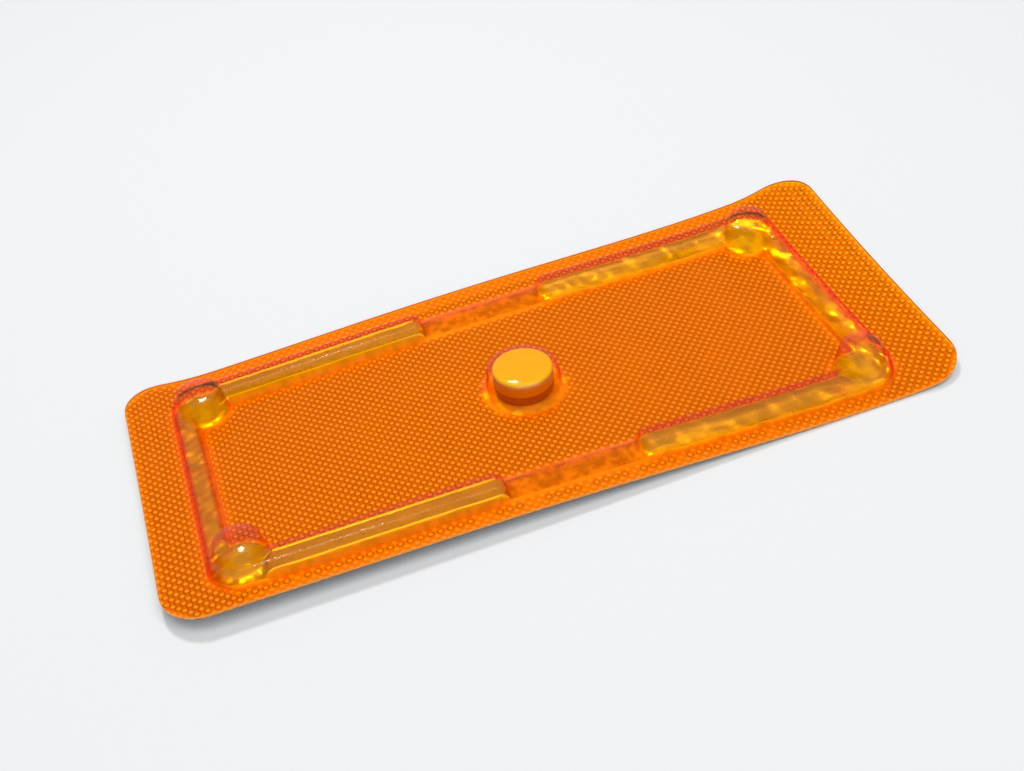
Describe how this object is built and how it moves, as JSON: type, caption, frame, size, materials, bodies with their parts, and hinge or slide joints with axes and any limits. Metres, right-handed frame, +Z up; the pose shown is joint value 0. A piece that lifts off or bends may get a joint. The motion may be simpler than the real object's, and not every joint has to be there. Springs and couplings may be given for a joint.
{
  "type": "pill blister pack",
  "caption": "Clear orange blister pack with a tablet in the middle cavity, corner posts, a raised rib frame and a knurled foil back sealed all round.",
  "frame": {"origin": "centre of the card's outline, at the foil's underside, which is the lowest face", "axes": "+X along the card's length towards the end that curls up most, +Y across it, +Z up through the posts"},
  "size_m": [0.1, 0.0448, 0.0064],
  "materials": {
    "film": "clear orange thermoformed plastic, glossy",
    "foil": "bright foil with a fine pressed knurl where it is sealed",
    "tablet": "smooth pressed and coated tablet"
  },
  "bodies": {
    "root": {"blister_film": "film", "lidding_foil": "foil", "tablet": "tablet"}
  },
  "joints": []
}
